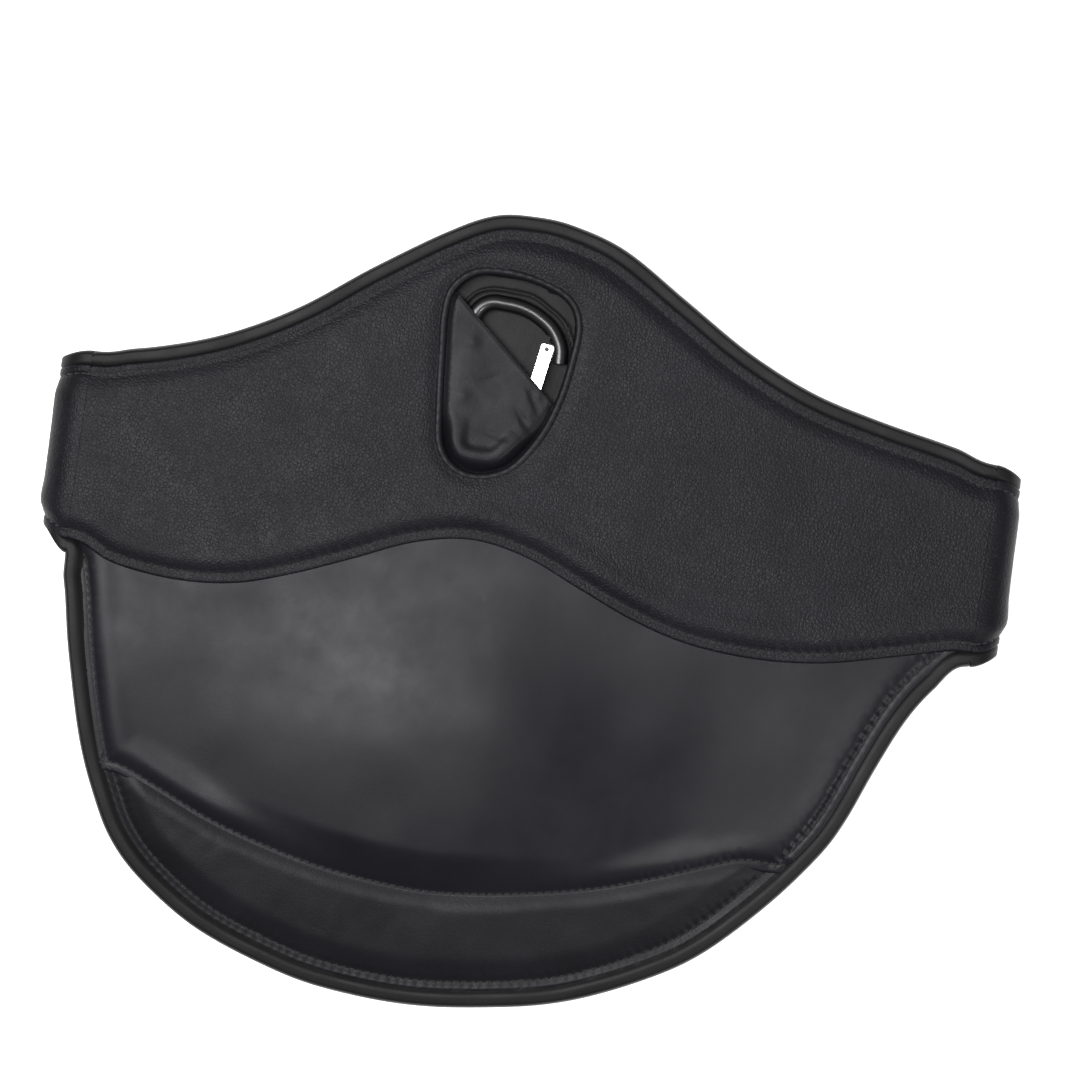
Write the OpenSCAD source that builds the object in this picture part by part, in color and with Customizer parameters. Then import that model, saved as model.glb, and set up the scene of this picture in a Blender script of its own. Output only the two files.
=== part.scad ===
// Leather belly-guard girth, lying face up with both strap ends folded underneath.
// X runs along the girth, +Y towards the hump of the band, +Z up out of the outer face.

/* [Overall] */
// Distance from the pad's middle line to the start of the left fold
left_fold_x = 177; // [165:1:180]
// Distance from the pad's middle line to the start of the right fold
right_fold_x = 225; // [215:1:230]
// Half of the girth's whole length, buckle tip to buckle tip, laid open
half_length = 400; // [385:5:420]
// Width of the padded edge that shows outside the facing
rim_w = 6.5; // [5:0.5:8]

/* [Leather and padding] */
// Thickness of the grained outer leather
facing_t = 2; // [1.5:0.1:2.4]
// Thickness of the webbing and padding core in the straps
core_t = 6; // [5:0.5:6.5]
// Thickness of the soft liner leather
liner_t = 1.5; // [1.2:0.1:1.8]
// Thickness of the smooth belly plate
plate_t = 3; // [2.5:0.5:3.5]
// Thickness of the reinforcing panel inside the pad
panel_t = 2; // [1.5:0.5:2]
// Thickness of the foam between reinforcing panel and liner
foam_t = 4.5; // [4:0.5:5]

/* [Folds and straps] */
// Outer radius of each folded end
fold_r = 13; // [13:0.5:14]
// Width of the facing on the straps
strap_w = 77.5; // [76:0.5:80]
// Width of the liner on the straps
strap_liner_w = 90; // [88:1:92]
// Width of the core in the straps
strap_core_w = 66; // [60:1:68]
// Clear gap between neighbouring fold sections, at the outer face
fold_gap = 0.3; // [0.2:0.05:0.4]

/* [Buckles] */
// Clear width inside a buckle, for a 25 mm billet strap
buckle_inner_w = 27; // [26:1:28]
// Distance between a buckle's two bars
buckle_l = 30; // [28:1:32]
// Radius of the buckle's wire
buckle_wire_r = 2; // [1.8:0.1:2]
// Outer radius of the roller
roller_r = 2.9; // [2.8:0.1:3]
// Length of elastic that shows between strap and buckle
elastic_show = 40; // [35:1:45]
// Distance between the two buckles' middle lines
buckle_pitch = 37; // [36.5:0.5:38]

/* [Snap hook] */
// Radius of the hook's wire
hook_r = 3.5; // [3.2:0.1:3.5]
// Half width of the gate
gate_half_w = 2.8; // [2.7:0.1:3]
// Radius of the gate's two tip corners
gate_corner = 1; // [0.8:0.1:1.2]
// Half thickness of the gate
gate_half_t = 3.3; // [3:0.1:3.3]
// Radius of the gate's pivot pin
pivot_r = 1.1; // [1:0.05:1.2]
// Radius of the latch pin in the gate's tip
latch_r = 1; // [0.9:0.05:1]

/* [Hidden] */
$fn = 48;

// Heights of the layers above the surface that the girth lies on
top_z = 2 * fold_r;
facing_z = top_z - facing_t;
core_z = facing_z - core_t;
strap_liner_z = core_z - liner_t;
panel_z = core_z;
pad_z = panel_z + panel_t;
foam_z = panel_z - foam_t;
liner_z = foam_z - liner_t;

// Radii of the same layers round a fold
core_r = fold_r - facing_t;
liner_r = core_r - core_t;
inner_r = liner_r - liner_t;
fold_steps = [30, 90, 150, 180];
fold_half_gap = asin(fold_gap / 2 / fold_r);

// Strap middle lines and the length of padding kept clear for each strap's anchor
left_y = 38.25;
right_y = 43.75;
anchor_l = 30;
strap_end_w = 74;
corner_cut = 8;
taper_l = 22;

// The guard bends down from here to the surface
bend_y = -30;
// How far the plate runs on under the band
plate_tuck = 5.5;
bend_steps = 8;
arc_steps = 4;

// Outlines, given by the points that a smooth curve runs through
top_points = [[-205, 83], [-190, 83.2], [-177, 83.8], [-150, 89], [-120, 99], [-90, 115], [-60, 137],
    [-30, 157], [-10, 167], [8, 169], [26, 167.3], [50, 159.5], [80, 141], [110, 122.5], [140, 109],
    [170, 101], [200, 95], [225, 89.6], [238, 88.8], [250, 88.6]];
bottom_points = [[-205, -6.75], [-190, -6.9], [-180, -9], [-175.5, -22], [-170, -49], [-160, -87],
    [-150, -112], [-140, -130], [-125, -145.5], [-100, -162.5], [-70, -174.5], [-40, -182], [0, -184.5],
    [40, -180], [70, -173], [100, -160], [125, -144.5], [150, -120], [170, -95], [180, -77.5],
    [190, -52.5], [200, -30], [210, -14.5], [220, -5], [230, -1.7], [250, -1.25]];
wave_points = [[-205, -0.5], [-185, -0.8], [-170, -4], [-150, -9.5], [-125, -11.8], [-100, -9.5],
    [-75, -1.7], [-50, 8.5], [-25, 19], [0, 23.5], [25, 19], [50, 8.5], [75, -1.7], [100, -8.5],
    [130, -11], [160, -8.8], [190, -2], [212, 3.5], [228, 5], [250, 5]];
toe_points = [[-190, -101], [-153, -100.5], [-142, -100], [-125, -107], [-100, -118], [-75, -126],
    [-50, -132], [-25, -135.5], [0, -137], [25, -135], [50, -131], [75, -125.5], [100, -117.5],
    [125, -108], [138, -103.7], [150, -103.5], [200, -103.5]];
window_points = [[0, 140.8], [15, 138.5], [27, 133], [32, 123], [31, 107], [28, 90], [22, 73.5],
    [12, 59], [0, 53.5], [-11, 55], [-18.5, 64], [-21, 82], [-23, 105], [-24, 121], [-22, 132],
    [-13.5, 139.5]];
curve_steps = 5;

// Snap hook: corner points of its bent wire, their bend radii, and its pins
hook_z = 20.5;
hook_points = [[27.2, 106], [27, 112.5], [22.4, 121], [10, 128.6], [-13, 129.6], [-13, 60.5], [4.5, 60.5],
    [12.2, 70.5]];
hook_bends = [0, 13, 19, 28, 9.5, 9, 9, 0];
spine_x = hook_points[4].x;
pivot = [14.6, 73.6];
latch = [20.9, 111.5];
gate_l = norm(latch - pivot);
gate_angle = atan2(latch.y - pivot.y, latch.x - pivot.x);
ear_gap = 3.6;
tang_half_t = 1.4;
slot_half_t = 1.6;
run_gap = 0.08;
body_gap = 0.3;
// How far the latch pin stands out, how far the tip runs past it, and the room round the tip
pin_head = 0.3;
gate_tip = 1;
tip_gap = 0.5;
// The nose that the latch pin rests in, cut open on the side the gate comes from
nose_l = 2.6;
nose_w = 4.6;
nose_open = [12, 8];
latch_slack = 0.25;
// The round tang that the gate turns on, in line with the wire's last straight
tang_r = 3.2;
tang_l = 4.4;
tang_angle = atan2(hook_points[7].y - hook_points[6].y, hook_points[7].x - hook_points[6].x);
leaf_slack = 0.3;
leaf_x = 3.3;
leaf_l = 15;
leaf_w = 2.2;
leaf_t = 0.4;
leaf_bow = 1.1;
leaf_r = (leaf_l * leaf_l / 4 + leaf_bow * leaf_bow) / leaf_bow / 2;
leaf_angle = asin(leaf_l / 2 / leaf_r);

// Pocket: the straight mouth runs through this point at this slope
mouth = [16, 98];
mouth_angle = -41;
floor_z = 14;
floor_t = 1.9;
cover_z = hook_z + hook_r + 1.1;
cover_t = 1.4;
welt_w = 3;

// Buckles lie at this height when the straps are folded
buckle_z = 6.3;
buckle_corner_r = 3.2;
elastic_t = 3.4;
elastic_w = 24;
elastic_hold = 20;
tongue_r = 1.5;
tongue_tip = 34;
eye_r = 3.7;
eye_w = 5.6;

// ---- curves ----
function catmull(a, b, c, d, t) =
    0.5 * (2 * b + (c - a) * t + (2 * a - 5 * b + 4 * c - d) * t * t
        + (3 * b - a - 3 * c + d) * t * t * t);
function open_curve(p, n) = let (last = len(p) - 1)
    [for (i = [0:last - 1], k = [0:n - 1])
        catmull(p[max(i - 1, 0)], p[i], p[i + 1], p[min(i + 2, last)], k / n), p[last]];
function closed_curve(p, n) = let (m = len(p))
    [for (i = [0:m - 1], k = [0:n - 1])
        catmull(p[(i + m - 1) % m], p[i], p[(i + 1) % m], p[(i + 2) % m], k / n)];
function unit(v) = v / norm(v);
// Moves an open line to its left by d
function shifted(line, d) = let (last = len(line) - 1)
    [for (i = [0:last]) let (u = unit(line[min(i + 1, last)] - line[max(i - 1, 0)]))
        line[i] + d * [-u.y, u.x]];
// Moves a closed clockwise line outwards by d
function outset(line, d) = let (m = len(line))
    [for (i = [0:m - 1]) let (u = unit(line[(i + 1) % m] - line[(i + m - 1) % m]))
        line[i] + d * [-u.y, u.x]];
function reversed(list) = [for (i = [len(list) - 1:-1:0]) list[i]];
function column(list, k) = [for (p = list) p[k]];

top_line = open_curve(top_points, curve_steps);
bottom_line = open_curve(bottom_points, curve_steps);
wave_line = open_curve(wave_points, curve_steps);
toe_line = open_curve(toe_points, curve_steps);
window_line = closed_curve(window_points, curve_steps);

low_y = min(column(bottom_line, 1));
high_y = max(column(top_line, 1));
origin = [(right_fold_x - left_fold_x) / 2, (high_y + low_y) / 2, 0];
far = 400;

// ---- flat regions, between the two folds ----
module between_folds() translate([-left_fold_x, -far / 2]) square([left_fold_x + right_fold_x, far]);
module outline(inset = 0) intersection() {
    polygon(concat(shifted(top_line, -inset), reversed(shifted(bottom_line, inset))));
    between_folds();
}
module above(line, shift = 0) polygon(concat(shifted(line, shift), [[far, far], [-far, far]]));
module below(line, shift = 0) polygon(concat(shifted(line, shift), [[far, -far], [-far, -far]]));
module window(grow = 0) polygon(outset(window_line, grow));
module band_region(inset = 0) intersection() {
    outline(rim_w + inset);
    above(wave_line, inset);
}
module plate_region() intersection() {
    outline(rim_w);
    below(wave_line, plate_tuck);
    above(toe_line);
}
module toe_region(inset = 0) intersection() {
    outline(rim_w + inset);
    below(toe_line, -inset);
}

// ---- a flat region given thickness, bending down along the guard ----
function sag(y) = y > bend_y ? 0 : liner_z * pow((bend_y - y) / (bend_y - low_y), 2);
bend_line = concat([far / 2, bend_y], [for (k = [1:bend_steps]) bend_y + (low_y - bend_y) * k / bend_steps]);
module bent_slab(z0, z1) translate([-far / 2, 0, 0]) rotate([90, 0, 90]) linear_extrude(far)
    polygon(concat([for (y = bend_line) [y, z1 - sag(y)]], [for (y = reversed(bend_line)) [y, z0 - sag(y)]]));
module layer(z0, z1) intersection() {
    translate([0, 0, -2]) linear_extrude(top_z + 4) children();
    bent_slab(z0, z1);
}
module window_cut(grow = welt_w) translate([0, 0, floor_z]) linear_extrude(top_z) window(grow);

// ---- one side of the girth: x outwards from the fold's start, y from the strap's middle ----
module side(left) translate([left ? -left_fold_x : right_fold_x, left ? left_y : right_y, 0])
    mirror([left ? 1 : 0, 0, 0]) children();
module both_sides() for (left = [true, false]) side(left) children();
function leather_l(left) = half_length - (left ? left_fold_x : right_fold_x) - PI * fold_r
    - elastic_show - buckle_l - roller_r;
// Part of a ring round the fold's axis, from angle a0 to a1 off the upper face
module fold_ring(r0, r1, w, a0, a1) translate([0, 0, fold_r]) rotate([-90, 0, 0]) rotate([0, 0, a0 - 90])
    rotate_extrude(angle = a1 - a0, $fn = 96) translate([r0, -w / 2]) square([r1 - r0, w]);
module strap_zone(back, z0, z1) translate([-back, -strap_liner_w / 2 - 0.5, z0])
    cube([back + 1, far, z1 - z0]);
// Slope that brings the pad's liner up to the strap's own liner
module liner_slope(left) intersection() {
    side(left) translate([0, far - strap_liner_w / 2 - 0.5, 0]) rotate([90, 0, 0]) linear_extrude(far)
        polygon([[-anchor_l, liner_z], [-anchor_l + taper_l, strap_liner_z], [0, strap_liner_z],
            [0, core_z], [-anchor_l + taper_l, core_z], [-anchor_l, foam_z]]);
    linear_extrude(top_z) outline();
}

// ---- pad ----
module band_facing() color([0.09, 0.09, 0.1]) difference() {
    union() {
        translate([0, 0, pad_z]) linear_extrude(top_z - pad_z) band_region();
        both_sides() fold_ring(core_r, fold_r, strap_w, 0, fold_steps[0] - fold_half_gap);
    }
    translate([0, 0, pad_z - 1]) linear_extrude(facing_z - pad_z + 1) band_region(facing_t);
    window_cut();
    plate_solid();
}
module band_padding() color([0.75, 0.72, 0.6]) difference() {
    translate([0, 0, pad_z]) linear_extrude(facing_z - pad_z) band_region(facing_t);
    window_cut();
    plate_solid();
    both_sides() strap_zone(anchor_l, 0, top_z);
}
module plate_solid() layer(pad_z, pad_z + plate_t) plate_region();
module belly_plate() color([0.12, 0.12, 0.13]) plate_solid();
module toe_panel() color([0.1, 0.1, 0.11]) difference() {
    layer(pad_z, facing_z) toe_region();
    layer(pad_z - 1, facing_z - liner_t) toe_region(liner_t);
}
module toe_padding() color([0.75, 0.72, 0.6]) layer(pad_z, facing_z - liner_t) toe_region(liner_t);
module core_panel() color([0.3, 0.3, 0.32]) difference() {
    layer(panel_z, pad_z) outline(rim_w);
    window_cut();
    both_sides() strap_zone(anchor_l, 0, top_z);
}
module liner_padding() color([0.75, 0.72, 0.6]) difference() {
    layer(foam_z, panel_z) outline(rim_w);
    window_cut();
    both_sides() strap_zone(anchor_l, 0, top_z);
}
module liner() color([0.13, 0.13, 0.14]) union() {
    difference() {
        layer(liner_z, foam_z) outline();
        both_sides() strap_zone(anchor_l, 0, top_z);
    }
    for (left = [true, false]) {
        liner_slope(left);
        side(left) fold_ring(inner_r, liner_r, strap_liner_w, 0, fold_steps[0] - fold_half_gap);
    }
}
module edge_rim() color([0.1, 0.1, 0.1]) difference() {
    layer(foam_z, pad_z) difference() {
        outline();
        outline(rim_w);
    }
    both_sides() strap_zone(anchor_l, 0, core_z);
}
module web_anchors() color([0.2, 0.2, 0.22]) both_sides() union() {
    translate([-anchor_l, -strap_core_w / 2, core_z]) cube([anchor_l, strap_core_w, core_t]);
    fold_ring(liner_r, core_r, strap_core_w, 0, fold_steps[0] - fold_half_gap);
}

// ---- hook window ----
module window_welt() color([0.08, 0.08, 0.08]) translate([0, 0, floor_z + floor_t])
    linear_extrude(top_z + 0.6 - floor_z - floor_t) difference() {
        window(welt_w);
        window();
    }
module window_floor() color([0.12, 0.12, 0.13]) translate([0, 0, floor_z])
    linear_extrude(floor_t) window(welt_w);
module hook_pocket() color([0.11, 0.11, 0.12]) difference() {
    pocket_h = cover_z + cover_t - floor_z - floor_t;
    translate([0, 0, floor_z + floor_t]) linear_extrude(pocket_h) intersection() {
        window(-0.6);
        translate(mouth) rotate(mouth_angle) translate([-far / 2, -far]) square([far, far]);
    }
    translate([0, 0, floor_z]) linear_extrude(cover_z - floor_z) window(-2);
}
module hook_loop() color([0.15, 0.15, 0.16]) difference() {
    union() {
        translate([spine_x, 76, hook_z]) rotate([-90, 0, 0]) cylinder(r = hook_r + 1, h = 24);
        translate([spine_x, 76, hook_z - hook_r - 1]) cube([19, 24, 1]);
    }
    translate([spine_x, 75, hook_z]) rotate([-90, 0, 0]) cylinder(r = hook_r + 0.1, h = 26);
}

// ---- snap hook ----
// Round wire through corner points p, bent at each corner to the radius in bends. The straights
// are a hair thinner than the bends and run a little way into them.
bend_entry = 0.3;
straight_thin = 0.03;
module wire(p, bends, r) {
    last = len(p) - 1;
    turns = [for (i = [0:last]) i == 0 || i == last ? 0 :
        let (a = unit(p[i] - p[i - 1]), b = unit(p[i + 1] - p[i])) atan2(a.x * b.y - a.y * b.x, a * b)];
    trims = [for (i = [0:last]) bends[i] * tan(abs(turns[i]) / 2)];
    for (i = [0:last - 1]) {
        u = unit(p[i + 1] - p[i]);
        start = p[i] + trims[i] * u;
        l = norm(p[i + 1] - p[i]) - trims[i] - trims[i + 1];
        entry = [i == 0 ? 0 : bend_entry, i == last - 1 ? 0 : bend_entry];
        translate([start.x, start.y, 0]) rotate([0, 90, atan2(u.y, u.x)])
            translate([0, 0, -entry[0]]) cylinder(r = r - straight_thin, h = l + entry[0] + entry[1]);
    }
    for (i = [1:last - 1]) {
        u = unit(p[i] - p[i - 1]);
        s = sign(turns[i]);
        centre = p[i] - trims[i] * u + bends[i] * s * [-u.y, u.x];
        translate([centre.x, centre.y, 0]) rotate([0, 0, atan2(u.y, u.x) - 90 * s])
            rotate_extrude(angle = turns[i]) translate([bends[i], 0]) circle(r);
    }
}
// Along the gate from its pivot, x towards the latch
module along_gate() translate([pivot.x, pivot.y, hook_z]) rotate([0, 0, gate_angle]) children();
module pin(r, half_h) translate([0, 0, -half_h]) cylinder(r = r, h = 2 * half_h);
module bar(x0, x1, half_w, half_t) translate([x0, -half_w, -half_t]) cube([x1 - x0, 2 * half_w, 2 * half_t]);
module hook_body() color([0.03, 0.03, 0.03]) difference() {
    union() {
        difference() {
            translate([0, 0, hook_z]) wire(hook_points, hook_bends, hook_r);
            along_gate() bar(gate_l - nose_open.x, gate_l, gate_half_w + tip_gap, far);
            along_gate() translate([gate_l, 0, 0]) pin(gate_half_w + tip_gap, far);
        }
        along_gate() translate([gate_l, 0, 0]) bar(-nose_l, nose_l, nose_w, slot_half_t - body_gap);
        along_gate() pin(tang_r, tang_half_t);
        translate([pivot.x, pivot.y, hook_z]) rotate([0, 0, tang_angle + 180])
            bar(0, tang_l, tang_r, tang_half_t);
    }
    along_gate() pin(pivot_r, far);
    along_gate() translate([gate_l, 0, 0]) pin(latch_r + latch_slack, far);
    along_gate() translate([gate_l - nose_open.x / 2, 0, -far / 2]) cube([nose_open.x, nose_open.y, far]);
}
module gate_pivot_pin() color([0.7, 0.7, 0.72]) along_gate() pin(pivot_r, gate_half_t);
module hook_gate() color([0.85, 0.85, 0.86]) difference() {
    along_gate() union() {
        bar(0, gate_l + gate_tip, gate_half_w, gate_half_t);
        pin(gate_half_w + body_gap, gate_half_t);
        for (y = [-1, 1]) translate([gate_l + gate_tip, y * (gate_half_w - gate_corner), 0])
            pin(gate_corner, gate_half_t);
        bar(0, gate_l + gate_tip + gate_corner, gate_half_w - gate_corner, gate_half_t);
    }
    along_gate() bar(-6, ear_gap, 6, slot_half_t);
    along_gate() bar(gate_l - 5, gate_l + 6, 6, slot_half_t);
    along_gate() pin(pivot_r + run_gap, far);
    along_gate() translate([gate_l, 0, 0]) pin(latch_r, far);
    along_gate() bar(leaf_x, leaf_x + leaf_l + leaf_slack, leaf_bow + leaf_slack, leaf_w / 2 + leaf_slack);
}
module gate_latch_pin() color([0.7, 0.7, 0.72]) along_gate() translate([gate_l, 0, 0])
    pin(latch_r, gate_half_t + pin_head);
// Leaf spring: a thin bowed strip in the gate's channel, resting on the hook's round tang
module gate_spring() color([0.6, 0.6, 0.62]) along_gate()
    translate([leaf_x + leaf_l / 2, leaf_bow - leaf_r, -leaf_w / 2]) rotate([0, 0, 90 - leaf_angle])
        rotate_extrude(angle = 2 * leaf_angle) translate([leaf_r - leaf_t, 0]) square([leaf_t, leaf_w]);

// ---- folds and strap ends ----
module fold_piece(left, step, r0, r1, w) side(left)
    fold_ring(r0, r1, w, fold_steps[step] + fold_half_gap, fold_steps[step + 1] - fold_half_gap);
module fold_facing(left, step) color([0.09, 0.09, 0.1]) fold_piece(left, step, core_r, fold_r, strap_w);
module fold_core(left, step) color([0.2, 0.2, 0.22]) fold_piece(left, step, liner_r, core_r, strap_core_w);
module fold_liner(left, step) color([0.13, 0.13, 0.14])
    fold_piece(left, step, inner_r, liner_r, strap_liner_w);
// Strap end lying flat: a tapering sheet with cut corners that starts with the last of the fold
module strap_end(left, r0, r1, w) side(left) intersection() {
    l = leather_l(left);
    first = fold_steps[2] + fold_half_gap;
    turn = [for (a = [first:(180 - first) / arc_steps:180.01]) [sin(a), cos(a)]];
    translate([0, w / 2, fold_r]) rotate([90, 0, 0]) linear_extrude(w)
        polygon(concat(turn * r1, [[-l, -r1], [-l, -r0]], reversed(turn * r0)));
    linear_extrude(top_z) polygon([[fold_r, -w / 2], [fold_r, w / 2], [0, w / 2],
        [-l + corner_cut, strap_end_w / 2], [-l, strap_end_w / 2 - corner_cut],
        [-l, -strap_end_w / 2 + corner_cut], [-l + corner_cut, -strap_end_w / 2], [0, -w / 2]]);
}
module strap_facing(left) color([0.09, 0.09, 0.1]) strap_end(left, core_r, fold_r, strap_w);
module strap_core(left) color([0.2, 0.2, 0.22]) difference() {
    strap_end(left, liner_r, core_r, strap_core_w);
    for (upper = [true, false]) side(left) at_elastic(left, upper)
        translate([0, -elastic_w / 2, -elastic_t / 2]) cube([elastic_hold, elastic_w, elastic_t + 1]);
}
module strap_liner(left) color([0.13, 0.13, 0.14]) strap_end(left, inner_r, liner_r, strap_liner_w);

// ---- elastic and buckles ----
module at_elastic(left, upper)
    translate([-leather_l(left), (upper ? 1 : -1) * buckle_pitch / 2, buckle_z]) children();
// A buckle's own frame: rear bar along y at x = 0, tip towards +x, outer face +z
module at_buckle(left, upper) side(left) at_elastic(left, upper)
    translate([-elastic_show, 0, 0]) rotate([0, 180, 0]) children();
module cross_bar(r, w) rotate([90, 0, 0]) translate([0, 0, -w / 2]) cylinder(r = r, h = w);
module elastic(left, upper) color([0.1, 0.1, 0.1]) difference() {
    union() {
        side(left) at_elastic(left, upper) translate([-elastic_show, -elastic_w / 2, -elastic_t / 2])
            cube([elastic_show + elastic_hold, elastic_w, elastic_t]);
        at_buckle(left, upper) cross_bar(eye_r, elastic_w);
    }
    at_buckle(left, upper) cross_bar(buckle_wire_r + 0.1, elastic_w + 2);
    at_buckle(left, upper) translate([-eye_r - 1, -eye_w / 2 - 0.4, -5])
        cube([2 * eye_r + 2, eye_w + 0.8, 10]);
}
module buckle_frame(left, upper) color([0.8, 0.8, 0.82]) at_buckle(left, upper) {
    c = buckle_corner_r;
    half = buckle_inner_w / 2 + buckle_wire_r;
    for (x = [0, buckle_l]) translate([x, 0, 0]) cross_bar(buckle_wire_r, 2 * (half - c));
    for (s = [-1, 1]) translate([c, s * half, 0]) rotate([0, 90, 0])
        cylinder(r = buckle_wire_r, h = buckle_l - 2 * c);
    for (s = [0:3]) translate([s % 3 == 0 ? buckle_l - c : c, s < 2 ? half - c : c - half, 0])
        rotate([0, 0, 90 * s]) rotate_extrude(angle = 90) translate([c, 0]) circle(buckle_wire_r);
}
module roller(left, upper) color([0.85, 0.85, 0.87]) at_buckle(left, upper) translate([buckle_l, 0, 0])
    difference() {
        cross_bar(roller_r, 20);
        cross_bar(buckle_wire_r + run_gap, 22);
    }
module tongue(left, upper) color([0.8, 0.8, 0.82]) at_buckle(left, upper) difference() {
    rise = roller_r + tongue_r + 0.05;
    slope = (rise - 2.9) / (buckle_l - 1);
    union() {
        cross_bar(eye_r, eye_w);
        translate([1, 0, 2.9]) rotate([0, 90 - atan(slope), 0])
            cylinder(r = tongue_r, h = (tongue_tip - 1) / cos(atan(slope)));
        translate([tongue_tip, 0, 2.9 + slope * (tongue_tip - 1)]) sphere(tongue_r);
    }
    cross_bar(buckle_wire_r + run_gap, eye_w + 2);
}

module placed() translate(-origin) children();
placed() band_facing();
placed() band_padding();
placed() belly_plate();
placed() toe_panel();
placed() toe_padding();
placed() core_panel();
placed() liner_padding();
placed() liner();
placed() edge_rim();
placed() web_anchors();
placed() window_welt();
placed() window_floor();
placed() hook_pocket();
placed() hook_loop();
placed() hook_body();
placed() gate_pivot_pin();
placed() hook_gate();
placed() gate_latch_pin();
placed() gate_spring();
placed() fold_facing(true, 0);  // left_fold_inner_facing
placed() fold_core(true, 0);  // left_fold_inner_core
placed() fold_liner(true, 0);  // left_fold_inner_liner
placed() fold_facing(true, 1);  // left_fold_outer_facing
placed() fold_core(true, 1);  // left_fold_outer_core
placed() fold_liner(true, 1);  // left_fold_outer_liner
placed() fold_facing(false, 0);  // right_fold_inner_facing
placed() fold_core(false, 0);  // right_fold_inner_core
placed() fold_liner(false, 0);  // right_fold_inner_liner
placed() fold_facing(false, 1);  // right_fold_outer_facing
placed() fold_core(false, 1);  // right_fold_outer_core
placed() fold_liner(false, 1);  // right_fold_outer_liner
placed() strap_facing(true);  // left_strap_facing
placed() strap_core(true);  // left_strap_core
placed() strap_liner(true);  // left_strap_liner
placed() strap_facing(false);  // right_strap_facing
placed() strap_core(false);  // right_strap_core
placed() strap_liner(false);  // right_strap_liner
placed() elastic(true, true);  // left_upper_elastic
placed() elastic(true, false);  // left_lower_elastic
placed() elastic(false, true);  // right_upper_elastic
placed() elastic(false, false);  // right_lower_elastic
placed() buckle_frame(true, true);  // left_upper_buckle_frame
placed() buckle_frame(true, false);  // left_lower_buckle_frame
placed() buckle_frame(false, true);  // right_upper_buckle_frame
placed() buckle_frame(false, false);  // right_lower_buckle_frame
placed() roller(true, true);  // left_upper_roller
placed() roller(true, false);  // left_lower_roller
placed() roller(false, true);  // right_upper_roller
placed() roller(false, false);  // right_lower_roller
placed() tongue(true, true);  // left_upper_tongue
placed() tongue(true, false);  // left_lower_tongue
placed() tongue(false, true);  // right_upper_tongue
placed() tongue(false, false);  // right_lower_tongue
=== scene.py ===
"""Leather belly-guard girth, lying face up with both strap ends folded underneath.

Shapes are worked out in millimetres in the girth's own frame (x = 0 on the pad's middle line).
They are moved into the object's frame, in metres, when a mesh is made.
"""

import math

import bpy
import numpy as np
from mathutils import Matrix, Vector
from mathutils.geometry import delaunay_2d_cdt


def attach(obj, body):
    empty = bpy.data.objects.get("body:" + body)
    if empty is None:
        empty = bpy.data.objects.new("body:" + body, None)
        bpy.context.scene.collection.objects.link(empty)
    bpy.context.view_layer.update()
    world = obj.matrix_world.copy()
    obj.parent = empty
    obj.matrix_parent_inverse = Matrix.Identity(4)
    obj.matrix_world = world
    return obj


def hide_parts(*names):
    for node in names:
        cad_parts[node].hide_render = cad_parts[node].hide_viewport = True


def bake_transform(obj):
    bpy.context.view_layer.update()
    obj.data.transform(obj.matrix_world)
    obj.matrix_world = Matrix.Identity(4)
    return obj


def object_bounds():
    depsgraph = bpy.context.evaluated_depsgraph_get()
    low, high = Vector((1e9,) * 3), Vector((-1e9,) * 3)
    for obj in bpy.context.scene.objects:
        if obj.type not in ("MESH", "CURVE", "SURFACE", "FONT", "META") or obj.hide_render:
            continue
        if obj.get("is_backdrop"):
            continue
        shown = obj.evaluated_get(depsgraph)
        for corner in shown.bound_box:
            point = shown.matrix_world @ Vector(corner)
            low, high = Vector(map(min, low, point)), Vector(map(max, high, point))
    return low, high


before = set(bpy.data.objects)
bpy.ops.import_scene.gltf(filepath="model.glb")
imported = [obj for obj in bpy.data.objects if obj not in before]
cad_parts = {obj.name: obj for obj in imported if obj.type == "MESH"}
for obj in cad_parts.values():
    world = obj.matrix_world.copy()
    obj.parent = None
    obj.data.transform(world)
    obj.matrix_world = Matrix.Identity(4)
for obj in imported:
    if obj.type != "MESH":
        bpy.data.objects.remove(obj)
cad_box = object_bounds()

# ---- sizes shared with the CAD part, in mm ----
MM = 0.001
LEFT_FOLD_X = -177.0
RIGHT_FOLD_X = 225.0
FOLD_R = 13.0
RIM_W = 6.5
STRAP_W = 77.5
STRAP_LINER_W = 90.0
STRAP_END_W = 74.0
STRAP_Y = {"left": 38.25, "right": 43.75}
HALF_LENGTH = 400.0
ELASTIC_SHOW = 40.0
BUCKLE_L = 30.0
ROLLER_R = 2.9
BUCKLE_PITCH = 37.0
BUCKLE_Z = 6.3
TOP_Z = 2 * FOLD_R
LINER_Z = 12.0
BEND_Y = -30.0
FLOOR_Z = 15.9
MOUTH = np.array([16.0, 98.0])
MOUTH_ANGLE = math.radians(-41)

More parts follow.
